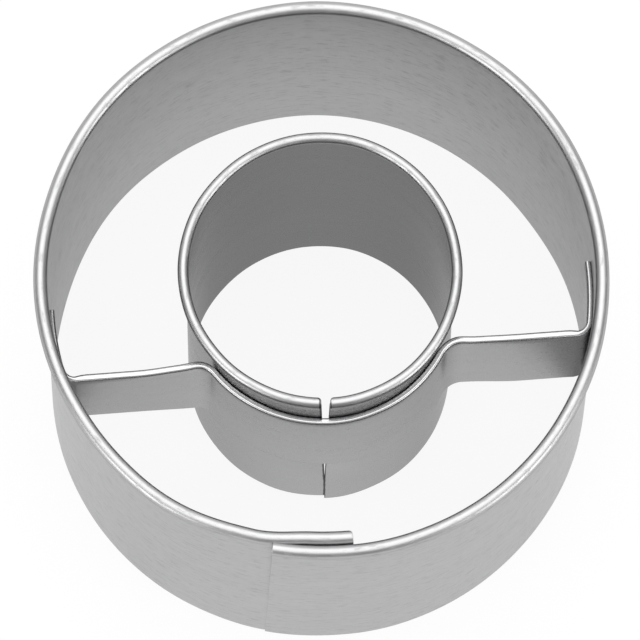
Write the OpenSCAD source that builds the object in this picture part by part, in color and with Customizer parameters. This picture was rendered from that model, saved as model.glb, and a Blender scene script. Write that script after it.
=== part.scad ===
/* [Rings] */
// Outside diameter of the outer ring's wall
ring_d = 75; // [64:1:110]
// Outside diameter of the inner ring's wall
hole_d = 36.4; // [26:0.2:44]
// Height of both rings, from the cutting edge to the top of the rolled rim
ring_h = 45; // [38:1:60]

/* [Sheet and rims] */
// Thickness of the steel strip
sheet_t = 0.35; // [0.25:0.05:0.4]
// Width of the outer ring's rolled rim
ring_rim_w = 1.9; // [1.6:0.1:3]
// Width of the inner ring's rolled rim
hole_rim_w = 1.5; // [1.4:0.1:2.4]
// How far round the rim is rolled, in degrees
rim_roll = 290; // [220:5:290]

/* [Lap of the outer ring] */
// Length over which the two ends of the strip lie on each other
lap_len = 10.5; // [6:0.1:20]
// Where the inner end stops, in degrees from the front towards the right
lap_turn = 2; // [-20:1:20]
// Height up to which the lapped sheets lie flat together
lap_flat_h = 18; // [12:1:26]
// Length over which each end swings apart from the round before the lap
lap_run = 22; // [12:1:30]
// How far the outer end leans, from the rim down to the cutting edge
lap_slant = 0.7; // [0:0.05:2]
// Gap between the lapped sheets
lap_gap = 0.06; // [0.05:0.01:0.2]

/* [Butt joint of the inner ring] */
// Width of the open joint at the rim
butt_top_w = 1.2; // [0.6:0.1:2]
// Width of the slit below the open joint
butt_bottom_w = 0.12; // [0.06:0.02:0.6]
// Height at which the joint begins to open
butt_open_h = 16; // [4:1:24]
// Where the joint lies, in degrees from the front towards the right
butt_turn = -2.5; // [-20:0.1:20]

/* [Bridge strip] */
// Height of the bridge strip
bridge_h = 18; // [14:0.5:24]
// Distance from the top of the rims down to the bridge
bridge_drop = 8.2; // [4:0.1:12]
// Distance of the bridge's arms in front of the middle of the rings
arm_offset = 9.1; // [6:0.1:9.9]
// Length of each tab along the outer ring's wall
tab_len = 8.6; // [6:0.1:14]
// Height of the folded hem along the bridge's top edge
hem_h = 2.4; // [1.6:0.1:4]
// Gap inside the folded hem
fold_gap = 0.3; // [0.04:0.01:0.4]
// Bend radius where the bridge meets the outer ring
wall_bend_r = 2.2; // [1:0.1:4]
// Bend radius where the bridge leaves the inner ring on the left
left_bend_r = 1.2; // [0.8:0.1:4]
// Bend radius where the bridge leaves the inner ring on the right
right_bend_r = 3.5; // [0.8:0.1:5]
// Gap between the bridge and the walls that it is welded to
seat_gap = 0.12; // [0.06:0.01:0.2]

/* [Spot welds] */
// Diameter of a spot weld
weld_d = 2.4; // [1.5:0.1:3]
// Distance of a weld's middle from the edge of the sheet
weld_edge = 4; // [2:0.5:5]
// Where the collar's welds lie, in degrees to each side of the front
collar_weld_turn = 25; // [10:1:40]

/* [Hidden] */
steel = [0.74, 0.74, 0.75];
weld_steel = [0.60, 0.60, 0.62];
// Overrun of every cut past the face that it goes through
over = 1;
// Angle between the cross-sections of the formed strips
station_step = 4;
// Angle between the cross-sections in a tight bend
bend_step = 13;
// Angle between the points round a rolled rim
rim_step = 29;
// Share of the lap's step that the inner end takes, the outer end takes the rest
lap_inner_share = 0.6;
full_turn = 360;
half_turn = 180;
quarter_turn = 90;

// Radius of the outer ring's inner face, and of the inner ring's inner face
ring_inner_r = ring_d / 2 - sheet_t;
hole_inner_r = hole_d / 2 - sheet_t;

// Angle of an arc of length len on radius r
function arc_turn(len, r) = len / r * half_turn / PI;

// Smooth rise from 0 to 1 while x goes from 0 to 1
function ease(x) = x <= 0 ? 0 : x >= 1 ? 1 : x * x * (3 - 2 * x);

// How far a chord of one station dips inside a circle of radius r
function chord_dip(r) = r * (1 - cos(station_step / 2));

// Number of steps that cover an angle
function steps(turn, step) = max(2, ceil(abs(turn) / step));

// Points of an arc in the plane of a strip's cross-section
function arc_points(centre, r, from, to, step) =
    let (n = steps(to - from, step))
    [for (i = [0 : n]) let (a = from + (to - from) * i / n) centre + r * [cos(a), sin(a)]];

// Cross-section of a ring's strip: x is the distance out from the inner face,
// y the height; levels are the heights where the wall can bend
function ring_section(rim_w, levels) =
    let (
        centre = [rim_w / 2, ring_h - rim_w / 2],
        roll_end = half_turn - rim_roll,
        last = len(levels) - 1
    )
    concat(
        [[0, 0]],
        [for (z = levels) [0, z]],
        arc_points(centre, rim_w / 2, half_turn, roll_end, rim_step),
        arc_points(centre, rim_w / 2 - sheet_t, roll_end, half_turn, rim_step),
        [for (i = [0 : 1 : last]) [sheet_t, levels[last - i]]],
        [[sheet_t, 0]]
    );

// Closed solid through a row of cross-sections that have the same number of points
module strip_solid(sections) {
    rows = len(sections);
    cols = len(sections[0]);
    points = [for (s = sections) each s];
    sides = [
        for (i = [0 : rows - 2])
            for (j = [0 : cols - 1])
                let (k = (j + 1) % cols)
                each [
                    [i * cols + j, i * cols + k, (i + 1) * cols + k],
                    [i * cols + j, (i + 1) * cols + k, (i + 1) * cols + j]
                ]
    ];
    first_end = [for (j = [cols - 1 : -1 : 0]) j];
    last_end = [for (j = [0 : cols - 1]) (rows - 1) * cols + j];
    polyhedron(points, concat([first_end], sides, [last_end]));
}

// Outer ring: one strip bent round a little more than once, its first end inside
lap_angle = arc_turn(lap_len, ring_d / 2);
run_angle = arc_turn(lap_run, ring_d / 2);
slant_angle = arc_turn(lap_slant, ring_d / 2);
rim_foot_h = ring_h - ring_rim_w;

// Step between the two lapped sheets at height z, wider at the top for the rims
function lap_step(z) =
    sheet_t + lap_gap
    + (ring_rim_w - sheet_t) * min(1, max(0, (z - lap_flat_h) / (rim_foot_h - lap_flat_h)));

// Outward shift of the strip at an angle along it and a height z
function lap_shift(along, z) =
    let (
        inner = 1 - ease((along - lap_angle) / run_angle),
        outer = ease((along - full_turn + run_angle) / run_angle)
    )
    lap_step(z) * (outer * (1 - lap_inner_share) - inner * lap_inner_share);

// Place of a cross-section's point p at an angle along the strip
function lap_point(along, p) =
    let (
        lean = slant_angle * ease((along - full_turn) / lap_angle) * (1 - p.y / ring_h),
        turn = lap_turn - along - lean,
        r = ring_inner_r + p.x + lap_shift(along, p.y)
    )
    [r * sin(turn), -r * cos(turn), p.y];

module outer_ring() {
    section = ring_section(ring_rim_w, [lap_flat_h, rim_foot_h]);
    sweep = full_turn + lap_angle;
    n = steps(sweep, station_step);
    color(steel)
        strip_solid([for (i = [0 : n]) [for (p = section) lap_point(sweep * i / n, p)]]);
}

// Inner ring: one strip bent round once, its ends meeting in an open joint
module butt_joint() {
    far = hole_d / 2 + hole_rim_w + over;
    rotate([0, 0, butt_turn])
        translate([0, 0, -over])
        rotate([quarter_turn, 0, 0])
        linear_extrude(far)
        polygon([
            [-butt_bottom_w / 2, 0],
            [butt_bottom_w / 2, 0],
            [butt_bottom_w / 2, butt_open_h + over],
            [butt_top_w / 2, ring_h + over],
            [butt_top_w / 2, ring_h + 2 * over],
            [-butt_top_w / 2, ring_h + 2 * over],
            [-butt_top_w / 2, ring_h + over],
            [-butt_bottom_w / 2, butt_open_h + over]
        ]);
}

module inner_ring() {
    color(steel)
        difference() {
            rotate_extrude($fn = 240)
                translate([hole_inner_r, 0])
                polygon(ring_section(hole_rim_w, []));
            butt_joint();
        }
}

// Bridge: one strip from tab to tab, bent round the front of the inner ring
bridge_top = ring_h - bridge_drop;
bridge_bottom = bridge_top - bridge_h;
tab_mid_r = ring_inner_r - seat_gap - sheet_t / 2;
collar_mid_r = hole_d / 2 + seat_gap + sheet_t + fold_gap + sheet_t / 2;
tab_angle = arc_turn(tab_len, tab_mid_r);
wall_bend_y = arm_offset - wall_bend_r;
wall_bend_x = sqrt(pow(tab_mid_r - wall_bend_r, 2) - pow(wall_bend_y, 2));
wall_bend_turn = atan2(wall_bend_y, wall_bend_x);

// Middle of the bend of radius r between an arm and the collar, on the right side
function collar_bend_x(r) = sqrt(pow(collar_mid_r + r, 2) - pow(arm_offset + r, 2));
function collar_bend_turn(r) = atan2(arm_offset + r, collar_bend_x(r));

// Stations along an arc of the bridge: a place and the direction to its left
function arc_stations(centre, r, from, to, step) =
    let (n = steps(to - from, step), side = to > from ? -1 : 1)
    [
        for (i = [0 : n])
            let (a = from + (to - from) * i / n, out = [cos(a), sin(a)])
            [centre + r * out, side * out]
    ];

bridge_stations = concat(
    arc_stations([0, 0], tab_mid_r, half_turn + wall_bend_turn - tab_angle,
        half_turn + wall_bend_turn, station_step),
    arc_stations([-wall_bend_x, -wall_bend_y], wall_bend_r, half_turn + wall_bend_turn,
        full_turn - quarter_turn, bend_step),
    arc_stations([-collar_bend_x(left_bend_r), -arm_offset - left_bend_r], left_bend_r,
        quarter_turn, collar_bend_turn(left_bend_r), bend_step),
    arc_stations([0, 0], collar_mid_r, half_turn + collar_bend_turn(left_bend_r),
        full_turn - collar_bend_turn(right_bend_r), station_step),
    arc_stations([collar_bend_x(right_bend_r), -arm_offset - right_bend_r], right_bend_r,
        half_turn - collar_bend_turn(right_bend_r), quarter_turn, bend_step),
    arc_stations([wall_bend_x, -wall_bend_y], wall_bend_r, full_turn - quarter_turn,
        full_turn - wall_bend_turn, bend_step),
    arc_stations([0, 0], tab_mid_r, full_turn - wall_bend_turn,
        full_turn - wall_bend_turn + tab_angle, station_step)
);

// Cross-section of the bridge: x is the distance to the left of its middle,
// which is the back, y the height; the top edge is folded over to the back
bridge_section =
    let (
        fold_r = sheet_t + fold_gap / 2,
        fold_x = sheet_t / 2 + fold_gap / 2,
        fold_y = bridge_top - fold_r
    )
    concat(
        [[-sheet_t / 2, bridge_bottom]],
        arc_points([fold_x, fold_y], fold_r, half_turn, 0, rim_step),
        [[fold_x + fold_r, bridge_top - hem_h], [fold_x + fold_gap / 2, bridge_top - hem_h]],
        arc_points([fold_x, fold_y], fold_gap / 2, 0, half_turn, rim_step),
        [[sheet_t / 2, bridge_bottom]]
    );

module bridge() {
    // Neighbouring arcs share the place where they meet, which is taken once
    path = [
        for (i = [0 : len(bridge_stations) - 1])
            if (i == 0 || norm(bridge_stations[i][0] - bridge_stations[i - 1][0]) > fold_gap / 2)
                bridge_stations[i]
    ];
    color(steel)
        strip_solid([
            for (s = path)
                [for (p = bridge_section) let (q = s[0] + s[1] * p.x) [q.x, q.y, p.y]]
        ]);
}

// Spot weld between two round faces of radius inner and outer
module spot_weld(turn, z, inner, outer) {
    intersection() {
        rotate([0, 0, turn])
            translate([0, 0, z])
            rotate([quarter_turn, 0, 0])
            cylinder(h = outer + over, d = weld_d, $fn = 48);
        difference() {
            cylinder(h = ring_h, r = outer, $fn = 240);
            translate([0, 0, -over])
                cylinder(h = ring_h + 2 * over, r = inner, $fn = 240);
        }
    }
}

bridge_weld_levels = [bridge_bottom + weld_edge, bridge_top - hem_h - weld_edge];
lap_weld_levels = [weld_edge, lap_flat_h - weld_edge];
tab_weld_turn = quarter_turn - wall_bend_turn + tab_angle / 2;

module lap_welds() {
    step = sheet_t + lap_gap;
    inner = ring_inner_r + sheet_t - step * lap_inner_share;
    outer = inner + lap_gap - chord_dip(ring_inner_r);
    color(weld_steel)
        for (z = lap_weld_levels)
            spot_weld(lap_turn - lap_angle / 2, z, inner, outer);
}

module tab_welds(side) {
    color(weld_steel)
        for (z = bridge_weld_levels)
            spot_weld(side * tab_weld_turn, z, tab_mid_r + sheet_t / 2,
                ring_inner_r - chord_dip(ring_inner_r));
}

module left_tab_welds() {
    tab_welds(-1);
}

module right_tab_welds() {
    tab_welds(1);
}

module collar_welds() {
    color(weld_steel)
        for (side = [-1, 1])
            for (z = bridge_weld_levels)
                spot_weld(side * collar_weld_turn, z, hole_d / 2,
                    collar_mid_r - sheet_t / 2 - chord_dip(collar_mid_r));
}

outer_ring();
inner_ring();
bridge();
lap_welds();
left_tab_welds();
right_tab_welds();
collar_welds();
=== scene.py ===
import math

import bpy
from bpy.props import FloatProperty, FloatVectorProperty, PointerProperty
from bpy.types import Operator, Panel, PropertyGroup
from mathutils import Matrix, Vector


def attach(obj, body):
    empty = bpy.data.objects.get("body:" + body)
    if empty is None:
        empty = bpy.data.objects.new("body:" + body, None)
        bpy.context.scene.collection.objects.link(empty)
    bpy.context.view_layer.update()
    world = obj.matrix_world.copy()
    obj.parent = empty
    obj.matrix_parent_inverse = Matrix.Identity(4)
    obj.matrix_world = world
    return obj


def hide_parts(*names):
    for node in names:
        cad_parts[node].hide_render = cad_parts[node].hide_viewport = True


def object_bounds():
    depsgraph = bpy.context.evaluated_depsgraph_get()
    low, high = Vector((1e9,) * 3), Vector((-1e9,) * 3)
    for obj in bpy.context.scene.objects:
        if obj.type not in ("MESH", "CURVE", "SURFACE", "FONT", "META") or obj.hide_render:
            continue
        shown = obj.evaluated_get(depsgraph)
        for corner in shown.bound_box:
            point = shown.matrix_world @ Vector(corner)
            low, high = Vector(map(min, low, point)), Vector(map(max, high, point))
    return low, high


bl_info = {
    "name": "Doughnut cutter",
    "version": (1, 0, 0),
    "blender": (4, 5, 0),
    "location": "3D View > Sidebar > Cutter",
    "description": "Builds the dressed sheet-steel doughnut cutter and its stage",
    "category": "Object",
}

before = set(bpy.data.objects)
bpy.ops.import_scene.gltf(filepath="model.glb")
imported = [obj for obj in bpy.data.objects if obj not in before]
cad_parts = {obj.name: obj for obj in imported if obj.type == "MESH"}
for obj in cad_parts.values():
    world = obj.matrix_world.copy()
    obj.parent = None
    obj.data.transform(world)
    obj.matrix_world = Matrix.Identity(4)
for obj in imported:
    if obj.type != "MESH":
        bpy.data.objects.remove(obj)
CAD_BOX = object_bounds()

MM = 0.001
FULL_TURN = 2 * math.pi
TINY = 1e-6
WHITE = (1.0, 1.0, 1.0)
# The picture's side in pixels, the camera's sensor in millimetres and how far it sees in metres
FRAME_SIZE = 640
SENSOR_WIDTH = 36.0
CLIP_END = 20.0
# Coordinates along and across a strip's sheet, and how much higher the second face's across value is
STRIP_UV = "sheet"
SECOND_FACE = 1.0
# Steps of the finished meshes, in degrees, and the spacing of rows on flat metal and along the arms
ROUND_STEP = 1.2
BEND_STEP = 5.0
ROLL_STEP = 10.0
FOLD_STEP = 20.0
SHARP_ANGLE = 30.0
FLAT_STEP = 3.0 * MM
ARM_STEP = FLAT_STEP / 4
# Decimals that the distances of rows are rounded to, so that rows that meet are one
ROW_DIGITS = 9
# How far the rings are from round, in millimetres: waves per turn, and the cosine and sine part of each
RING_WAVES = ((2, 0.274, -0.024), (3, -0.058, -0.056), (4, -0.015, 0.015),
              (11, 0.012, 0.01), (17, 0.0, 0.01))
HOLE_WAVES = ((2, 0.137, -0.02), (3, 0.006, 0.075), (9, 0.012, 0.0), (14, 0.0, 0.01))
# How far the outer ring's foot and rim stand off from that, in millimetres: one value every 15 degrees,
# from the front to the right
FOOT_STANDS = (0.0, 0.15, 0.2, 0.2, 0.26, 0.1, -0.03, -0.03, -0.2, -0.12, 0.02, 0.08,
               0.1, -0.08, -0.1, -0.08, -0.38, -0.47, -0.25, 0.0, 0.05, 0.13, 0.05, 0.09)
RIM_STANDS = (0.0, 0.2, 0.33, 0.27, 0.17, 0.1, 0.08, 0.12, 0.26, 0.1, -0.05, -0.1,
              -0.05, -0.14, -0.05, 0.1, 0.03, 0.08, 0.08, -0.1, -0.38, -0.36, 0.0, 0.0)
# How a worn sheet edge falls away: share of its radius in from the edge, and share of the radius lost there
EDGE_SHARES = ((0.0, 1.0), (0.3, 0.3), (1.0, 0.0), (3.0, 0.0))
# How many times further in than a worn edge the next row lies
EDGE_CLEAR = 1.2
# How many corner radii the rounding of a rim's corner reaches along the strip
CORNER_REACH = 3.0
# Share of its run that the rim beside the lap stays in before it comes back out
LAP_AFTER_WAIT = 0.15
# How near a ring the bridge begins to follow it
RING_REACH = 3.0 * MM
# Patterns of the steel: waves in a metre along and across the strip, and how rough the pattern is
STREAKS = (60.0, 5200.0, 0.5)
BROAD = (40.0, 260.0, 0.6)
MOTTLE = (900.0, 900.0, 0.6)
LINES = (90.0, 3200.0, 0.6)
WORN = (420.0, 2000.0, 0.65)
WORN_LEVEL = 0.6
WORN_SOFT = 0.12
SPECKS = 4200.0
SPECK_LEVEL = 0.7
SPECK_SOFT = 0.05
PATTERN_DETAIL = 3.0
NOISE_MIDDLE = 0.5
# How much each pattern darkens, roughens and raises the steel
DARKENS = {"specks": 0.30, "mottle": 0.22, "broad": 0.25, "streaks": 0.18, "lines": 0.8, "worn": 0.5}
ROUGHENS = {"specks": 0.10, "mottle": 0.08, "broad": 0.08, "worn": 0.15}
RAISES = {"streaks": 0.7, "mottle": 0.6, "lines": 4.0}
DARKEST = 0.84
RELIEF = 0.01 * MM
RELIEF_SHARE = 0.25
# How softly the strip's faces and its drawn part are told apart
FACE_SOFT = 0.01
DRAWN_SOFT = 0.6 * MM
# Painted shade along the inner ring's joint: its reach from the right and the left end, and how it frays
JOINT_SHADE_RIGHT = 0.12 * MM
JOINT_SHADE_LEFT = 0.28 * MM
JOINT_SHADE_SOFT = 0.05 * MM
JOINT_SHADE_FRAY = 0.2 * MM
JOINT_SHADE_SHARE = 0.85
# The welds' grain and burnt patches, in waves to a metre, the patches' shades, and the grain's relief
WELD_GRAIN = 6000.0
WELD_BURN = 900.0
WELD_DARK = 0.7
WELD_LIGHT = 1.2
WELD_ROUGHNESS = 0.45
WELD_ROUGH_REACH = 0.3
WELD_RELIEF = 0.02 * MM
WELD_RELIEF_SHARE = 0.4
# The floor's grain, its darker shade and its roughness
FLOOR_GRAIN = 40.0
FLOOR_DIM = 0.99
FLOOR_ROUGHNESS = 0.9
PLAIN_DETAIL = 2.0


def length(name, description, default):
    """A size in millimetres as a property in metres."""
    return FloatProperty(name=name, description=description, default=default * MM,
                         subtype="DISTANCE", unit="LENGTH", precision=5)


def share(name, description, default):
    """A plain number from 0 to 1."""
    return FloatProperty(name=name, description=description, default=default, min=0.0, max=1.0)


def number(name, description, default):
    """A plain number."""
    return FloatProperty(name=name, description=description, default=default)


def angle(name, description, degrees):
    """An angle, given in degrees."""
    return FloatProperty(name=name, description=description, default=math.radians(degrees),
                         subtype="ANGLE", unit="ROTATION")


def colour(name, description, default):
    """A linear colour."""
    return FloatVectorProperty(name=name, description=description, default=default, size=3,
                               subtype="COLOR", min=0.0, max=1.0)


class CutterSizes(PropertyGroup):
    """Sizes of the three strips and of how they are bent and pressed"""

    ring_d: length("Outer ring", "Outside diameter of the outer ring's wall", 75.0)
    hole_d: length("Inner ring", "Outside diameter of the inner ring's wall", 36.4)
    ring_h: length("Height", "Height of both rings", (CAD_BOX[1][2] - CAD_BOX[0][2]) / MM)
    sheet_t: length("Sheet", "Thickness of the strip", 0.35)
    ring_rim_w: length("Outer rim", "Width of the outer ring's rolled rim", 1.9)
    hole_rim_w: length("Inner rim", "Width of the inner ring's rolled rim", 1.5)
    rim_roll: angle("Rim roll", "How far round the rim is rolled", 290.0)
    edge_r: length("Edge radius", "Wear radius on the edges of the sheet", 0.05)
    lap_len: length("Lap", "Length of the lap", 10.7)
    lap_turn: angle("Lap end", "Where the inner end stops, from the front to the right", 2.0)
    lap_flat_h: length("Flat lap height", "Height up to which the sheets lie together", 18.0)
    lap_run: length("Lap run", "Length over which the outer end swings out", 22.0)
    lap_inner_run: length("Lap inner run", "Length over which the inner end swings in", 8.0)
    lap_inner_lead: length("Lap inner lead", "How far before the lap's end the inner end is fully in", 5.0)
    lap_after: length("Lap after", "How far the rim still stands in beside the lap", 1.0)
    lap_after_run: length("Lap after run", "Length over which the rim beside the lap comes back out", 18.0)
    lap_slant: length("Lap slant", "How far the outer end leans at the cutting edge", 0.85)
    lap_gap: length("Lap gap", "Gap between the lapped sheets", 0.06)
    lap_foot: share("Inner share below", "Share of the lap's step that the flat inner end takes", 0.6)
    lap_rim: share("Inner share above", "Share of the lap's step that the inner end's rim takes", 0.88)
    corner_r: length("Corner", "Rounding of the rolled rim's inner corner at the ends", 0.7)
    butt_top_w: length("Joint at the rim", "Width of the open joint at the rim", 1.2)
    butt_lap: length("Joint at the edge", "How far the left end lies under the right one at the foot", 0.15)
    butt_open_h: length("Joint opens at", "Height at which the joint begins to open", 10.0)
    butt_turn: angle("Joint turn", "Where the joint lies, from the front to the right", -2.5)
    butt_step: length("Joint step", "How far the right end stands out from the left one", 0.4)
    butt_reach: length("Joint reach", "Length over which the joint's ends leave the round", 8.0)
    hole_right: length("Inner ring right", "How far the inner ring's foot stands to the right", 0.29)
    hole_back: length("Inner ring back", "How far the inner ring's foot stands to the back", 0.34)
    hole_lean_right: length("Inner lean right", "How far the inner ring's rim leans to the right", -0.28)
    hole_lean_back: length("Inner lean back", "How far the inner ring's rim leans to the back", 0.68)
    bridge_h: length("Bridge height", "Height of the bridge strip", 18.0)
    bridge_drop: length("Bridge drop", "From the top of the rims down to the bridge", 8.2)
    arm_left: length("Left arm", "Distance of the left arm in front of the middle", 9.24)
    arm_right: length("Right arm", "Distance of the right arm in front of the middle", 8.4)
    left_top: length("Left arm's top", "How far the left arm's top swings to the front", 0.45)
    left_foot: length("Left arm's foot", "How far the left arm's lower edge swings to the front", -0.07)
    right_top: length("Right arm's top", "How far the right arm's top swings to the front", 0.12)
    right_foot: length("Right arm's foot", "How far the right arm's lower edge swings to the front", 0.42)
    arm_reach: length("Arm reach", "Length over which the arms swing", 8.0)
    tab_len: length("Tab", "Length of each tab along the outer wall", 8.6)
    hem_h: length("Hem", "Height of the folded hem", 2.4)
    fold_gap: length("Fold gap", "Gap inside the folded hem", 0.34)
    fold_flat: share("Fold flatness", "How far the fold's top is pressed flat", 0.3)
    left_press: length("Left tab press", "How much thinner the hem is pressed on the left tab", 0.34)
    right_press: length("Right tab press", "How much thinner the hem is pressed on the right tab", 0.25)
    collar_press: length("Collar press", "How much thinner the hem is pressed on the collar", 0.05)
    collar_seat: length("Collar seat", "How far the collar is drawn against the inner ring", 0.1)
    tab_seat: length("Tab seat", "How far the tabs are drawn against the outer wall", 0.1)
    wall_bend_r: length("Wall bend", "Bend radius at the outer ring", 2.2)
    left_bend_r: length("Left bend", "Bend radius at the inner ring on the left", 2.6)
    right_bend_r: length("Right bend", "Bend radius at the inner ring on the right", 3.5)
    seat_gap: length("Seat gap", "Gap between the bridge and the walls", 0.12)


class CutterFinish(PropertyGroup):
    """Colours and finish of the steel; the darker inner and back faces and the joint's dark band are
    painted shade
    """

    # Painted shade: the inner ring's inner face is a darker copy of its outer steel, for the shade inside
    # the hole
    hole_inside_painted_shade: colour("Inner ring inside", "Steel of the inner ring's inner face", (0.29, 0.29, 0.293))
    hole_outside: colour("Inner ring outside", "Steel of the inner ring's outer face", (0.63, 0.63, 0.635))
    bridge_front: colour("Bridge front", "Steel of the bridge's front face", (0.63, 0.63, 0.635))
    # Painted shade: the bridge's back face is a slightly darker copy of its front steel
    bridge_back_painted_shade: colour("Bridge back", "Steel of the bridge's back face", (0.60, 0.60, 0.605))
    rim_steel: colour("Rims", "Steel of the outer ring, the inner rim and the fold", (0.52, 0.52, 0.525))
    # Painted shade: this dark colour, laid along both ends of the inner ring's joint, stands in for the
    # crevice's shadow
    joint_painted_shade: colour("Joint stain", "Stained steel along the inner ring's joint", (0.07, 0.07, 0.07))
    weld_steel: colour("Welds", "Colour of the welded spots", (0.36, 0.35, 0.34))
    satin: share("Sheet roughness", "Roughness of the flat sheet", 0.26)
    rolled: share("Rim roughness", "Roughness of the outer ring, the inner rim and the fold", 0.36)
    # Painted shade: the outer ring's inner face takes a lower edge tint than its outer face, which darkens
    # it
    inside_edge_painted_shade: share("Inner face edge-on", "How much the outer ring's inner face mirrors edge-on", 0.66)
    ring_edge: share("Outer face edge-on", "How much the outer ring's outer face mirrors edge-on", 0.9)
    strip_edge: share("Other strips edge-on", "How much the other strips mirror edge-on", 0.5)


class CutterStage(PropertyGroup):
    """Camera, light and floor"""

    elevation: angle("Elevation", "Height of the camera above the floor", 72.86)
    azimuth: angle("Azimuth", "Turn of the camera round the cutter", -6.8)
    roll: angle("Roll", "Tilt of the camera", 2.25)
    distance: length("Distance", "From the camera to the point it looks at", 1442.9)
    aim_x: length("Aim right", "Point the camera looks at, to the right", 0.079)
    aim_y: length("Aim back", "Point the camera looks at, to the back", 7.613)
    focal_px: number("Focal length", "Focal length in pixels of the picture", 10377.0)
    lamp_tilt: angle("Lamp tilt", "How far the overhead light leans to the back", 7.0)
    lamp_core: angle("Lamp core", "Half angle over which the overhead light is at its brightest", 14.0)
    lamp_reach: angle("Lamp reach", "Half angle at which the overhead light has faded away", 53.0)
    lamp_level: number("Lamp level", "Brightness of the overhead light", 1.85)
    side_turn: angle("Side turn", "Turn of the side lights from the front", 55.0)
    side_height: angle("Side height", "Height of the side lights", 20.0)
    side_reach: angle("Side reach", "Half angle at which the side lights have faded away", 24.0)
    side_level: number("Side level", "Brightness of the side lights", 3.4)
    back_height: angle("Back height", "Height of the light at the back", 12.0)
    back_reach: angle("Back reach", "Half angle at which the light at the back has faded away", 75.0)
    back_level: number("Back level", "Brightness of the light at the back", 0.6)
    room_level: number("Room level", "Brightness of the room", 0.36)
    floor_colour: colour("Floor", "Colour of the floor", (0.9, 0.9, 0.9))
    floor_glow: share("Floor glow", "Share of plain white in the floor as it is seen", 0.9)
    floor_width: length("Floor width", "Width of the floor", 6000.0)


def ease(x):
    """Smooth rise from 0 to 1 while x goes from 0 to 1."""
    x = min(1.0, max(0.0, x))
    return x * x * (3.0 - 2.0 * x)


def spread(start, end, step):
    """Even values from start to end, at most step apart."""
    n = max(1, math.ceil(abs(end - start) / step - TINY))
    return [start + (end - start) * i / n for i in range(n + 1)]


def edge_loss(distance, radius):
    """How much a sheet's face falls away near its edge."""
    reach = distance / radius
    for (near, loss), (far, next_loss) in zip(EDGE_SHARES, EDGE_SHARES[1:]):
        if reach < far:
            return radius * (loss + (next_loss - loss) * (reach - near) / (far - near))
    return 0.0


def with_edges(distances, radius):
    """Adds the rows of a worn edge at both ends of a list of distances."""
    total = distances[-1]
    rows = {reach * radius for reach, _ in EDGE_SHARES}
    rows |= {total - row for row in rows}
    clear = EDGE_SHARES[-1][0] * radius * EDGE_CLEAR
    rows |= {d for d in distances if clear < d < total - clear}
    return sorted(rows)


def arc_step(degrees, radius):
    """The length of a step of so many degrees at a radius."""
    return math.radians(degrees) * radius


class Route:
    """Straight and round stretches in a row: walk(distance) gives a point and the direction to its left."""

    def __init__(self, start=None):
        self.pieces = []
        self.total = 0.0
        self.here = start

    def add(self, size, point, step):
        """A stretch whose points are point(0) to point(1), with its rows at most step apart."""
        self.pieces.append((self.total, size, point, step))
        self.total += size
        self.here = point(1.0)[0]

    def line(self, end, step):
        """A straight stretch from the last point."""
        start = self.here
        size = math.dist(start, end)
        way = (end[0] - start[0], end[1] - start[1])
        left = (-way[1] / size, way[0] / size)
        self.add(size, lambda t: ((start[0] + way[0] * t, start[1] + way[1] * t), left), step)

    def arc(self, centre, radius, start, end, step):
        """A round stretch from angle to angle."""
        side = -1.0 if end > start else 1.0

        def point(t):
            a = start + (end - start) * t
            out = (math.cos(a), math.sin(a))
            return ((centre[0] + radius * out[0], centre[1] + radius * out[1]),
                    (side * out[0], side * out[1]))

        self.add(abs(end - start) * radius, point, step)

    def rows(self, edge_r):
        """Distances of the rows along the route, with those of the worn edges at its ends."""
        marks = set()
        for begin, size, _, step in self.pieces:
            marks |= {round(mark, ROW_DIGITS) for mark in spread(begin, begin + size, step)}
        return with_edges(sorted(marks), edge_r)

    def walk(self, distance):
        """Point and left direction at a distance along the route."""
        for piece in self.pieces:
            begin, size, point, _ = piece
            if distance <= begin + size or piece is self.pieces[-1]:
                return point(min(1.0, max(0.0, (distance - begin) / size)))


def strip_mesh(name, section, stations, total, place, sizes):
    """Closed mesh of a strip with worn edges and ends; its second face takes the second material."""
    verts = []
    uvs = []
    rows = section.rows(sizes.edge_r)
    half = len(rows)
    for s in stations:
        end_loss = edge_loss(min(s, total - s), sizes.edge_r)
        for side in (1, -1):
            second = 0.0 if side > 0 else SECOND_FACE
            for d in rows if side > 0 else reversed(rows):
                (x, z), face = section.walk(d)
                loss = max(end_loss, edge_loss(min(d, section.total - d), sizes.edge_r))
                out = side * (sizes.sheet_t / 2 - loss)
                verts.append(place(s, x + face[0] * out, z + face[1] * out))
                uvs.append((s, d + second))
    ring = 2 * half
    faces = []
    on_second = []
    for i in range(len(stations) - 1):
        for j in range(ring):
            k = (j + 1) % ring
            faces.append((i * ring + j, i * ring + k, (i + 1) * ring + k, (i + 1) * ring + j))
            on_second.append(half <= j < ring - 1)
    last = (len(stations) - 1) * ring
    for j in range(half - 1):
        mirror = ring - 1 - j
        faces.append((j, mirror, mirror - 1, j + 1))
        faces.append((last + j, last + j + 1, last + mirror - 1, last + mirror))
    mesh = bpy.data.meshes.new(name)
    mesh.from_pydata(verts, [], faces)
    layer = mesh.uv_layers.new(name=STRIP_UV)
    for loop in mesh.loops:
        layer.data[loop.index].uv = uvs[loop.vertex_index]
    mesh.update()
    for polygon in mesh.polygons:
        polygon.use_smooth = True
    for polygon, second in zip(mesh.polygons, on_second):
        polygon.material_index = int(second)
    mesh.set_sharp_from_angle(angle=math.radians(SHARP_ANGLE))
    piece = bpy.data.objects.new(name, mesh)
    bpy.context.scene.collection.objects.link(piece)
    return piece


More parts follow.
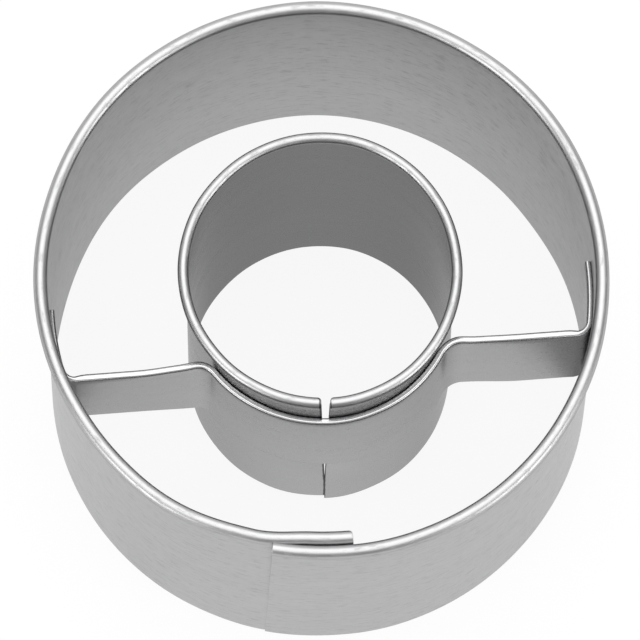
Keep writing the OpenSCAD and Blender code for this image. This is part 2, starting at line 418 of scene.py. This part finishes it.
def face_outwards(piece):
    """Turns the faces of a closed mesh outwards."""
    mesh = piece.data
    volume = 0.0
    for polygon in mesh.polygons:
        corners = [mesh.vertices[i].co for i in polygon.vertices]
        for b, c in zip(corners[1:], corners[2:]):
            volume += corners[0].dot(b.cross(c))
    if volume < 0:
        mesh.flip_normals()


def dress(piece, materials, node):
    """Gives a piece its materials, and puts it in the place of its solid."""
    face_outwards(piece)
    for material in materials:
        piece.data.materials.append(material)
    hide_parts(node)
    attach(piece, "root")


def rim_section(sizes, rim_w):
    """A ring's strip in section: up the wall and round the rolled rim, with x from the inner face."""
    roll_r = rim_w / 2
    foot = sizes.ring_h - roll_r
    middle = sizes.sheet_t / 2
    section = Route((middle, 0.0))
    section.line((middle, sizes.lap_flat_h), FLAT_STEP)
    section.line((middle, foot), FLAT_STEP)
    section.arc((roll_r, foot), roll_r - middle, math.pi, math.pi - sizes.rim_roll,
                arc_step(ROLL_STEP, roll_r))
    return section


def ring_stations(sizes, total, wall_r):
    """Distances of the stations round a ring's strip."""
    return with_edges(spread(0.0, total, arc_step(ROUND_STEP, wall_r)), sizes.edge_r)


def wave(waves, turn):
    """How far a ring stands out of the round at a turn from its front."""
    return MM * sum(c * math.cos(n * turn) + s * math.sin(n * turn) for n, c, s in waves)


def outwards(point, amount):
    """A step away from the middle of the rings."""
    size = math.hypot(point[0], point[1])
    return point[0] / size * amount, point[1] / size * amount


def hole_middle(sizes, z):
    """Middle of the inner ring at a height."""
    high = z / sizes.ring_h
    return sizes.hole_right + sizes.hole_lean_right * high, sizes.hole_back + sizes.hole_lean_back * high


def hole_place(sizes, point):
    """Place of a point that belongs to the inner ring, once that ring leans and is out of round."""
    out = outwards(point, wave(HOLE_WAVES, math.atan2(point[0], -point[1])))
    middle = hole_middle(sizes, point[2])
    return point[0] + out[0] + middle[0], point[1] + out[1] + middle[1], point[2]


def stand(stands, turn):
    """A smooth value between the entries of a table that goes once round."""
    reach = turn % FULL_TURN / FULL_TURN * len(stands)
    at = int(reach)
    part = reach - at
    a, b, c, d = (stands[(at + i) % len(stands)] for i in (-1, 0, 1, 2))
    return MM * (b + part * (c - a + part * (2 * a - 5 * b + 4 * c - d + part * (3 * (b - c) + d - a))) / 2)


def wall_out(sizes, point):
    """How far the outer ring stands out of the round at a point."""
    turn = math.atan2(point[0], -point[1])
    foot = stand(FOOT_STANDS, turn)
    return wave(RING_WAVES, turn) + foot + (stand(RIM_STANDS, turn) - foot) * point[2] / sizes.ring_h


def wall_place(sizes, point):
    """Place of a point that belongs to the outer ring, once that ring is out of round."""
    out = outwards(point, wall_out(sizes, point))
    return point[0] + out[0], point[1] + out[1], point[2]


def weld_place(sizes, point):
    """Place of a point of a spot weld: it goes with the ring that it is on."""
    on_hole = math.hypot(point[0], point[1]) < (sizes.ring_d + sizes.hole_d) / 4
    return hole_place(sizes, point) if on_hole else wall_place(sizes, point)


def corner_cut(sizes, x, end_distance):
    """How much shorter the strip is at a depth x of its rim, near an end with a rounded corner."""
    if x >= sizes.corner_r:
        return 0.0
    depth = 1.0 - max(0.0, x) / sizes.corner_r
    cut = sizes.corner_r * (1.0 - math.sqrt(max(0.0, 1.0 - depth * depth)))
    return cut * (1.0 - ease(end_distance / (CORNER_REACH * sizes.corner_r)))


class BridgeForm:
    """The bridge's strip: its section with the hem, its route from tab to tab, and how it is pressed."""

    def __init__(self, sizes):
        t = sizes.sheet_t
        self.sizes = sizes
        self.top = sizes.ring_h - sizes.bridge_drop
        self.fold_r = (t + sizes.fold_gap) / 2
        self.fold_z = self.top - (self.fold_r + t / 2) * (1.0 - sizes.fold_flat)
        self.tab_r = sizes.ring_d / 2 - t - sizes.seat_gap - t / 2
        self.collar_r = sizes.hole_d / 2 + sizes.seat_gap + 2 * t + sizes.fold_gap - t / 2
        self.middle = hole_middle(sizes, self.top - sizes.bridge_h / 2)
        self.left_x, self.left_turn = self.collar_bend(sizes.arm_left, sizes.left_bend_r)
        self.right_x, self.right_turn = self.collar_bend(sizes.arm_right, sizes.right_bend_r)
        self.section = self.fold_section()
        self.plan = self.tab_to_tab()

    def fold_section(self):
        """Up the strip, round the fold and down the hem."""
        section = Route((0.0, self.top - self.sizes.bridge_h))
        section.line((0.0, self.fold_z), FLAT_STEP / 2)
        section.arc((self.fold_r, self.fold_z), self.fold_r, math.pi, 0.0, arc_step(FOLD_STEP, self.fold_r))
        section.line((2 * self.fold_r, self.top - self.sizes.hem_h), FLAT_STEP)
        return section

    def wall_bend(self, offset):
        """Middle and turn of the bend at the outer ring, for an arm so far in front of the middle."""
        bend_r = self.sizes.wall_bend_r
        y = offset - bend_r
        x = math.sqrt((self.tab_r - bend_r) ** 2 - y ** 2)
        return x, y, math.atan2(y, x)

    def collar_bend(self, offset, bend_r):
        """How far to the side the bend at the inner ring lies, and its turn."""
        y = offset + self.middle[1] + bend_r
        x = math.sqrt((self.collar_r + bend_r) ** 2 - y ** 2)
        return x, math.atan2(y, x)

    def tab_to_tab(self):
        """The route from above: left tab, arm, collar, arm and right tab."""
        sizes = self.sizes
        left_out, left_in, left_tab = self.wall_bend(sizes.arm_left)
        right_out, right_in, right_tab = self.wall_bend(sizes.arm_right)
        left_x = self.middle[0] - self.left_x
        right_x = self.middle[0] + self.right_x
        tab_turn = sizes.tab_len / self.tab_r
        tab_step = arc_step(ROUND_STEP, self.tab_r)
        bend_step = arc_step(BEND_STEP, sizes.wall_bend_r)
        down = 1.5 * math.pi
        plan = Route()
        plan.arc((0.0, 0.0), self.tab_r, math.pi + left_tab - tab_turn, math.pi + left_tab, tab_step)
        plan.arc((-left_out, -left_in), sizes.wall_bend_r, math.pi + left_tab, down, bend_step)
        plan.line((left_x, -sizes.arm_left), ARM_STEP)
        plan.arc((left_x, -sizes.arm_left - sizes.left_bend_r), sizes.left_bend_r,
                 math.pi / 2, self.left_turn, arc_step(BEND_STEP, sizes.left_bend_r))
        plan.arc(self.middle, self.collar_r, math.pi + self.left_turn, FULL_TURN - self.right_turn,
                 arc_step(ROUND_STEP, self.collar_r))
        plan.arc((right_x, -sizes.arm_right - sizes.right_bend_r), sizes.right_bend_r,
                 math.pi - self.right_turn, math.pi / 2, arc_step(BEND_STEP, sizes.right_bend_r))
        plan.line((right_out, -sizes.arm_right), ARM_STEP)
        plan.arc((right_out, -right_in), sizes.wall_bend_r, down, FULL_TURN - right_tab, bend_step)
        plan.arc((0.0, 0.0), self.tab_r, FULL_TURN - right_tab, FULL_TURN - right_tab + tab_turn, tab_step)
        return plan

    def swing(self, px, z):
        """How far a point of an arm swings to the front."""
        sizes = self.sizes
        low = (self.top - z) / sizes.bridge_h
        if px < self.middle[0]:
            reach = ease((self.middle[0] - px - self.left_x) / sizes.arm_reach)
            return reach * (sizes.left_top + (sizes.left_foot - sizes.left_top) * low)
        reach = ease((px - self.middle[0] - self.right_x) / sizes.arm_reach)
        return reach * (sizes.right_top + (sizes.right_foot - sizes.right_top) * low)

    def pressed(self, px, x, at_wall, at_collar):
        """Depth x in the strip once it is drawn against the rings and its hem is pressed."""
        sizes = self.sizes
        press = sizes.left_press if px < self.middle[0] else sizes.right_press
        x += at_collar * sizes.collar_seat - at_wall * sizes.tab_seat
        return x - (at_wall * press + at_collar * sizes.collar_press) * ease(x / (2 * self.fold_r))

    def near_collar(self, px, py):
        """How fully a point goes with the inner ring, from 0 to 1."""
        from_collar = math.hypot(px - self.middle[0], py - self.middle[1]) - self.collar_r
        return 1.0 - ease(from_collar / RING_REACH)

    def place(self, s, x, z):
        """Place of a point: s along the route, x to its left, z up."""
        (px, py), (nx, ny) = self.plan.walk(s)
        at_wall = ease((math.hypot(px, py) - self.tab_r) / RING_REACH + 1.0)
        x = self.pressed(px, x, at_wall, self.near_collar(px, py))
        swing = self.swing(px, z)
        if z > self.fold_z:
            z = self.fold_z + (z - self.fold_z) * (1.0 - self.sizes.fold_flat)
        point = (px + nx * x, py + ny * x)
        from_middle = (point[0] - self.middle[0], point[1] - self.middle[1])
        turn = math.atan2(from_middle[0], -from_middle[1])
        at_hole = self.near_collar(*point)
        with_wall = outwards(point, at_wall * wall_out(self.sizes, (px, py, z)))
        with_hole = outwards(from_middle, at_hole * wave(HOLE_WAVES, turn))
        here = hole_middle(self.sizes, z)
        return (point[0] + with_wall[0] + with_hole[0] + at_hole * (here[0] - self.middle[0]),
                point[1] + with_wall[1] + with_hole[1] + at_hole * (here[1] - self.middle[1]) - swing,
                z)


class Wire:
    """A number socket that takes part in Python sums."""

    def __init__(self, shop, socket):
        self.shop = shop
        self.socket = socket

    def _sum(self, operation, first, second):
        return self.shop.add("ShaderNodeMath", {"operation": operation}, {0: first, 1: second}).out()

    def __add__(self, other):
        return self._sum("ADD", self, other)

    __radd__ = __add__

    def __sub__(self, other):
        return self._sum("SUBTRACT", self, other)

    def __rsub__(self, other):
        return self._sum("SUBTRACT", other, self)

    def __mul__(self, other):
        return self._sum("MULTIPLY", self, other)

    __rmul__ = __mul__

    def clamp(self):
        """Kept between 0 and 1."""
        return self.shop.add("ShaderNodeClamp", {}, {"Value": self}).out()

    def above(self, level, width):
        """A soft step from 0 to 1 round a level."""
        return ((self - (level - width / 2)) * (1.0 / width)).clamp()


class Made:
    """A node in the shop, with its outputs by name."""

    def __init__(self, shop, node):
        self.shop = shop
        self.node = node

    def out(self, name=0):
        """One output as a wire."""
        return Wire(self.shop, self.node.outputs[name])


class Shop:
    """Makes the nodes of one tree."""

    def __init__(self, tree):
        self.tree = tree
        tree.nodes.clear()

    def add(self, kind, settings, sockets):
        """Adds a node: its settings first, then the values or wires of its sockets."""
        node = self.tree.nodes.new(kind)
        for name, value in settings.items():
            setattr(node, name, value)
        for name, value in sockets.items():
            if isinstance(value, Wire):
                self.tree.links.new(value.socket, node.inputs[name])
            else:
                node.inputs[name].default_value = value
        return Made(self, node)

    def noise(self, place, scale, detail, roughness=0.5):
        """A noise value from 0 to 1."""
        return self.add("ShaderNodeTexNoise", {}, {
            "Vector": place, "Scale": scale, "Detail": detail, "Roughness": roughness}).out("Fac")

    def pattern(self, sheet, along, across, roughness):
        """A noise with its own number of waves along and across the strip."""
        place = self.add("ShaderNodeVectorMath", {"operation": "MULTIPLY"}, {
            0: sheet, 1: (along, across, 1.0)}).out()
        return self.noise(place, 1.0, PATTERN_DETAIL, roughness)

    def tint(self, factor, first, second, blend="MIX"):
        """A mix of two colours."""
        return self.add("ShaderNodeMix", {"data_type": "RGBA", "blend_type": blend}, {
            "Factor": factor, 6: first, 7: second}).out(2)


def new_material(name):
    """An empty node material and its shop."""
    material = bpy.data.materials.new(name)
    material.use_nodes = True
    return material, Shop(material.node_tree)


def shade(base, level):
    """A colour scaled to a level, with its alpha."""
    return tuple(min(1.0, c * level) for c in base) + (1.0,)


def weigh(patterns, weights):
    """The sum of patterns, each times its weight."""
    return sum(patterns[name] * weight for name, weight in weights.items())


def sheet_steel(name, tone, edge_tone, drawn_from, joint=0.0):
    """Satin rolled steel of one face: streaks along the strip, a faint mottle, specks and drawing lines.

    From the distance drawn_from across the strip on, the steel is drawn and worn as the rims are.
    Where the strip's whole length is given as joint, both ends of the face are darkened with painted shade
    along the joint.
    """
    finish = bpy.context.scene.cutter_finish
    material, shop = new_material(name)
    sheet = shop.add("ShaderNodeUVMap", {"uv_map": STRIP_UV}, {}).out("UV")
    ways = shop.add("ShaderNodeSeparateXYZ", {}, {0: sheet})
    along = ways.out("X")
    across = ways.out("Y")
    depth = across - across.above(SECOND_FACE / 2, FACE_SOFT) * SECOND_FACE
    drawn = depth.above(drawn_from, DRAWN_SOFT)
    streaks = shop.pattern(sheet, *STREAKS)
    broad = shop.pattern(sheet, *BROAD)
    mottle = shop.pattern(sheet, *MOTTLE)
    lines = shop.pattern(sheet, *LINES)
    worn = shop.pattern(sheet, *WORN).above(WORN_LEVEL, WORN_SOFT) * drawn
    specks = shop.noise(sheet, SPECKS, 1.0).above(SPECK_LEVEL, SPECK_SOFT)
    patterns = {"specks": specks, "worn": worn, "lines": drawn * (lines - NOISE_MIDDLE),
                "streaks": streaks - NOISE_MIDDLE, "broad": broad - NOISE_MIDDLE,
                "mottle": mottle - NOISE_MIDDLE}
    metal = shop.tint(drawn, shade(tone, 1.0), shade(finish.rim_steel, 1.0))
    # Painted shade along the joint: both ends of the strip are darkened
    if joint:
        frayed = along + (mottle - NOISE_MIDDLE) * JOINT_SHADE_FRAY
        joint_shade = 1.0 - frayed.above(JOINT_SHADE_RIGHT, JOINT_SHADE_SOFT) + frayed.above(joint - JOINT_SHADE_LEFT, JOINT_SHADE_SOFT)
        metal = shop.tint(joint_shade.clamp() * JOINT_SHADE_SHARE, metal, shade(finish.joint_painted_shade, 1.0))
    shadow = (NOISE_MIDDLE + weigh(patterns, DARKENS)).clamp()
    shadow_tint = shop.tint(shadow, shade(WHITE, 1.0), shade(WHITE, DARKEST))
    roughness = finish.satin + drawn * (finish.rolled - finish.satin) + weigh(patterns, ROUGHENS)
    height = weigh({"streaks": streaks, "mottle": mottle, "lines": drawn * lines}, RAISES)
    bump = shop.add("ShaderNodeBump", {}, {"Strength": RELIEF_SHARE, "Distance": RELIEF, "Height": height})
    surface = shop.add("ShaderNodeBsdfPrincipled", {}, {
        "Base Color": shop.tint(1.0, metal, shadow_tint, "MULTIPLY"), "Metallic": 1.0,
        "Roughness": roughness, "Normal": bump.out("Normal"), "Specular Tint": shade(WHITE, edge_tone)})
    shop.add("ShaderNodeOutputMaterial", {}, {"Surface": surface.out("BSDF")})
    return material


def weld_steel(name, base):
    """Dull steel of a spot weld, burnt darker in patches."""
    material, shop = new_material(name)
    place = shop.add("ShaderNodeTexCoord", {}, {}).out("Object")
    grain = shop.noise(place, WELD_GRAIN, PATTERN_DETAIL)
    burn = shop.noise(place, WELD_BURN, PLAIN_DETAIL)
    bump = shop.add("ShaderNodeBump", {}, {
        "Strength": WELD_RELIEF_SHARE, "Distance": WELD_RELIEF, "Height": grain})
    surface = shop.add("ShaderNodeBsdfPrincipled", {}, {
        "Base Color": shop.tint(burn, shade(base, WELD_DARK), shade(base, WELD_LIGHT)),
        "Metallic": 1.0,
        "Roughness": WELD_ROUGHNESS + (grain - NOISE_MIDDLE) * WELD_ROUGH_REACH,
        "Normal": bump.out("Normal")})
    shop.add("ShaderNodeOutputMaterial", {}, {"Surface": surface.out("BSDF")})
    return material


def floor_paint(stage):
    """Pale floor: plain white is mixed in as it is seen and mirrored, and the shadow stays."""
    material, shop = new_material("floor_paint")
    place = shop.add("ShaderNodeTexCoord", {}, {}).out("Object")
    grain = shop.noise(place, FLOOR_GRAIN, PLAIN_DETAIL)
    rays = shop.add("ShaderNodeLightPath", {}, {})
    seen = rays.out("Is Camera Ray") + rays.out("Is Glossy Ray") + rays.out("Is Transmission Ray")
    colour_mix = shop.tint(grain, shade(stage.floor_colour, FLOOR_DIM), shade(stage.floor_colour, 1.0))
    paint = shop.add("ShaderNodeBsdfPrincipled", {}, {
        "Base Color": colour_mix, "Roughness": FLOOR_ROUGHNESS, "Specular IOR Level": 0.0})
    glow = shop.add("ShaderNodeEmission", {}, {"Color": shade(WHITE, 1.0), "Strength": 1.0})
    mixed = shop.add("ShaderNodeMixShader", {}, {
        "Fac": seen.clamp() * stage.floor_glow, 1: paint.out("BSDF"), 2: glow.out("Emission")})
    shop.add("ShaderNodeOutputMaterial", {}, {"Surface": mixed.out("Shader")})
    return material


class CUTTER_OT_outer_ring(Operator):
    """Build the outer ring: one lapped strip with a rolled rim"""

    bl_idname = "cutter.outer_ring"
    bl_label = "Outer ring"

    def execute(self, context):
        sizes = context.scene.cutter_sizes
        section = rim_section(sizes, sizes.ring_rim_w)
        wall_r = sizes.ring_d / 2
        total = FULL_TURN * wall_r + sizes.lap_len
        rim_foot = sizes.ring_h - sizes.ring_rim_w

        def lap_step(z):
            """How far the lapped ends lie apart at a height, and the inner end's share of it."""
            rise = (z - sizes.lap_flat_h) / (rim_foot - sizes.lap_flat_h)
            wide = min(1.0, max(0.0, rise))
            step = sizes.sheet_t + sizes.lap_gap + (sizes.ring_rim_w - sizes.sheet_t) * wide
            return step, sizes.lap_foot + (sizes.lap_rim - sizes.lap_foot) * wide

        def place(s, x, z):
            """Place of a point: s round the strip from its inner end, x from the inner face, z up."""
            inner = 1.0 - ease((s - sizes.lap_len + sizes.lap_inner_lead) / sizes.lap_inner_run)
            outer = ease((s - (total - sizes.lap_len) + sizes.lap_run) / sizes.lap_run)
            step, inside = lap_step(z)
            back_out = ease((s - sizes.lap_len) / sizes.lap_after_run - LAP_AFTER_WAIT)
            beside = (1.0 - inner) * (1.0 - back_out)
            high = ease(z / rim_foot)
            shift = step * (outer * (1.0 - inside) - inner * inside) - sizes.lap_after * beside * high
            if z > rim_foot:
                s += corner_cut(sizes, x, s)
            at_end = ease((s - total) / sizes.lap_len + 1.0)
            lean = sizes.lap_slant * at_end * (1.0 - z / sizes.ring_h)
            turn = sizes.lap_turn - (s + lean) / wall_r
            r = wall_r - sizes.sheet_t + x + shift
            return wall_place(sizes, (r * math.sin(turn), -r * math.cos(turn), z))

        stations = ring_stations(sizes, total, wall_r)
        piece = strip_mesh("outer_ring_strip", section, stations, total, place, sizes)
        finish = context.scene.cutter_finish
        # Both faces share one steel; the inner face's lower edge tint is painted shade
        dress(piece, [sheet_steel("ring_inside_painted_shade", finish.rim_steel, finish.inside_edge_painted_shade, 0.0),
                      sheet_steel("ring_outside", finish.rim_steel, finish.ring_edge, 0.0)],
              "outer_ring")
        return {"FINISHED"}


class CUTTER_OT_inner_ring(Operator):
    """Build the inner ring: one strip whose ends meet in an open joint"""

    bl_idname = "cutter.inner_ring"
    bl_label = "Inner ring"

    def execute(self, context):
        sizes = context.scene.cutter_sizes
        section = rim_section(sizes, sizes.hole_rim_w)
        wall_r = sizes.hole_d / 2
        total = FULL_TURN * wall_r
        rim_foot = sizes.ring_h - sizes.hole_rim_w

        def place(s, x, z):
            """Place of a point: s round the strip from its right end, x from the inner face, z up."""
            rise = max(0.0, (z - sizes.butt_open_h) / (sizes.ring_h - sizes.butt_open_h))
            under = 1.0 - ease(z / sizes.butt_open_h * 2.0 - 1.0)
            right = 1.0 - ease(s / sizes.butt_reach)
            left = 1.0 - ease((total - s) / sizes.butt_reach)
            along = s + sizes.butt_top_w / 2 * rise * (right - left) + sizes.butt_lap * under * left
            if z > rim_foot:
                cut = corner_cut(sizes, x, min(s, total - s))
                along += cut if s < total / 2 else -cut
            turn = sizes.butt_turn + along / wall_r
            closed = 1.0 - ease((z - sizes.butt_open_h) / sizes.butt_open_h)
            step = sizes.butt_step / 2 * (right - left) * closed
            r = wall_r - sizes.sheet_t + x + step
            return hole_place(sizes, (r * math.sin(turn), -r * math.cos(turn), z))

        stations = ring_stations(sizes, total, wall_r)
        piece = strip_mesh("inner_ring_strip", section, stations, total, place, sizes)
        finish = context.scene.cutter_finish
        rim_from = section.pieces[-1][0]
        # The inner face takes the darker copy of the steel: painted shade
        dress(piece, [sheet_steel("hole_inside_painted_shade", finish.hole_inside_painted_shade, finish.strip_edge, rim_from, total),
                      sheet_steel("hole_outside", finish.hole_outside, finish.strip_edge, rim_from, total)],
              "inner_ring")
        return {"FINISHED"}


class CUTTER_OT_bridge(Operator):
    """Build the bridge: one hemmed strip from tab to tab, bent round the inner ring"""

    bl_idname = "cutter.bridge"
    bl_label = "Bridge"

    def execute(self, context):
        sizes = context.scene.cutter_sizes
        form = BridgeForm(sizes)
        stations = form.plan.rows(sizes.edge_r)
        piece = strip_mesh("bridge_strip", form.section, stations, form.plan.total, form.place, sizes)
        finish = context.scene.cutter_finish
        hem_from = form.section.pieces[-1][0]
        # The back face's darker steel is painted shade
        dress(piece, [sheet_steel("bridge_front", finish.bridge_front, finish.strip_edge, hem_from),
                      sheet_steel("bridge_back_painted_shade", finish.bridge_back_painted_shade, finish.strip_edge, hem_from)],
              "bridge")
        return {"FINISHED"}


class CUTTER_OT_welds(Operator):
    """Set the spot welds between the sheets and give them their steel"""

    bl_idname = "cutter.welds"
    bl_label = "Spot welds"

    def execute(self, context):
        material = weld_steel("weld_steel", context.scene.cutter_finish.weld_steel)
        sizes = context.scene.cutter_sizes
        for node in ("lap_welds", "left_tab_welds", "right_tab_welds", "collar_welds"):
            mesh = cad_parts[node].data.copy()
            mesh.name = node + "_set"
            mesh.materials.clear()
            for vertex in mesh.vertices:
                vertex.co = weld_place(sizes, tuple(vertex.co))
            piece = bpy.data.objects.new(node + "_set", mesh)
            context.scene.collection.objects.link(piece)
            dress(piece, [material], node)
        return {"FINISHED"}


class CUTTER_OT_stage(Operator):
    """Set the floor, the soft light and the camera"""

    bl_idname = "cutter.stage"
    bl_label = "Stage"

    def execute(self, context):
        scene = context.scene
        stage = scene.cutter_stage
        scene.view_settings.view_transform = "Standard"
        self.lay_floor(scene, stage)
        self.light_room(scene, stage)
        self.place_camera(scene, stage)
        return {"FINISHED"}

    def lay_floor(self, scene, stage):
        """Lays the plain floor under the cutting edges."""
        half = stage.floor_width / 2
        mesh = bpy.data.meshes.new("floor")
        corners = [(-half, -half, 0.0), (half, -half, 0.0), (half, half, 0.0), (-half, half, 0.0)]
        mesh.from_pydata(corners, [], [(0, 1, 2, 3)])
        mesh.materials.append(floor_paint(stage))
        floor = bpy.data.objects.new("floor", mesh)
        scene.collection.objects.link(floor)

    def light_room(self, scene, stage):
        """Lights the room with soft lobes: overhead, at the back and at both sides."""
        world = bpy.data.worlds.new("room")
        world.use_nodes = True
        shop = Shop(world.node_tree)
        way = shop.add("ShaderNodeTexCoord", {}, {}).out("Generated")

        def lamp(axis, core, reach):
            """A light round an axis: full up to the angle core, and faded away at the angle reach."""
            towards = shop.add("ShaderNodeVectorMath", {"operation": "DOT_PRODUCT"}, {0: way, 1: axis})
            return shop.add("ShaderNodeMapRange", {"interpolation_type": "SMOOTHSTEP"}, {
                "Value": towards.out("Value"), "From Min": math.cos(reach),
                "From Max": math.cos(core)}).out("Result")

        level = lamp((0.0, math.sin(stage.lamp_tilt), math.cos(stage.lamp_tilt)),
                     stage.lamp_core, stage.lamp_reach) * stage.lamp_level + stage.room_level
        across = math.cos(stage.side_height)
        back = (0.0, math.cos(stage.back_height), math.sin(stage.back_height))
        level = level + lamp(back, 0.0, stage.back_reach) * stage.back_level
        for side in (-1.0, 1.0):
            axis = (side * across * math.sin(stage.side_turn), -across * math.cos(stage.side_turn),
                    math.sin(stage.side_height))
            level = level + lamp(axis, 0.0, stage.side_reach) * stage.side_level
        surround = shop.add("ShaderNodeBackground", {}, {"Color": shade(WHITE, 1.0), "Strength": level})
        shop.add("ShaderNodeOutputWorld", {}, {"Surface": surround.out("Background")})
        scene.world = world

    def place_camera(self, scene, stage):
        """Sets the camera at the photograph's viewing angle."""
        forward = Vector((0.0, math.cos(stage.elevation), -math.sin(stage.elevation)))
        right = Vector((1.0, 0.0, 0.0))
        up = right.cross(forward)
        tilted_right = math.cos(stage.roll) * right + math.sin(stage.roll) * up
        tilted_up = math.cos(stage.roll) * up - math.sin(stage.roll) * right
        eye = Vector((stage.aim_x, stage.aim_y, 0.0)) - stage.distance * forward
        turned = Matrix.Rotation(stage.azimuth, 3, "Z")
        axes = Matrix((tilted_right, tilted_up, -forward)).transposed()
        camera = bpy.data.cameras.new("photo_camera")
        camera.sensor_width = SENSOR_WIDTH
        camera.lens = stage.focal_px * SENSOR_WIDTH / FRAME_SIZE
        camera.clip_end = CLIP_END
        view = bpy.data.objects.new("photo_camera", camera)
        view.matrix_world = Matrix.Translation(turned @ eye) @ (turned @ axes).to_4x4()
        scene.collection.objects.link(view)
        scene.camera = view


class CUTTER_PT_parts(Panel):
    """Lists the cutter's pieces"""

    bl_label = "Doughnut cutter"
    bl_idname = "CUTTER_PT_parts"
    bl_space_type = "VIEW_3D"
    bl_region_type = "UI"
    bl_category = "Cutter"

    def draw(self, context):
        for operator in OPERATORS:
            self.layout.operator(operator.bl_idname)
        for name, kind in GROUPS:
            box = self.layout.box()
            for item in kind.__annotations__:
                box.prop(getattr(context.scene, name), item)


OPERATORS = (CUTTER_OT_outer_ring, CUTTER_OT_inner_ring, CUTTER_OT_bridge, CUTTER_OT_welds,
             CUTTER_OT_stage)
GROUPS = (("cutter_sizes", CutterSizes), ("cutter_finish", CutterFinish),
          ("cutter_stage", CutterStage))


def register():
    """Registers the properties, the operators and the panel."""
    for name, group in GROUPS:
        bpy.utils.register_class(group)
        setattr(bpy.types.Scene, name, PointerProperty(type=group))
    for item in OPERATORS + (CUTTER_PT_parts,):
        bpy.utils.register_class(item)


def unregister():
    """Removes what register added."""
    for item in reversed(OPERATORS + (CUTTER_PT_parts,)):
        bpy.utils.unregister_class(item)
    for name, group in reversed(GROUPS):
        delattr(bpy.types.Scene, name)
        bpy.utils.unregister_class(group)


def main():
    """Builds the cutter and its stage."""
    register()
    bpy.ops.cutter.outer_ring()
    bpy.ops.cutter.inner_ring()
    bpy.ops.cutter.bridge()
    bpy.ops.cutter.welds()
    bpy.ops.cutter.stage()


if __name__ == "__main__":
    main()
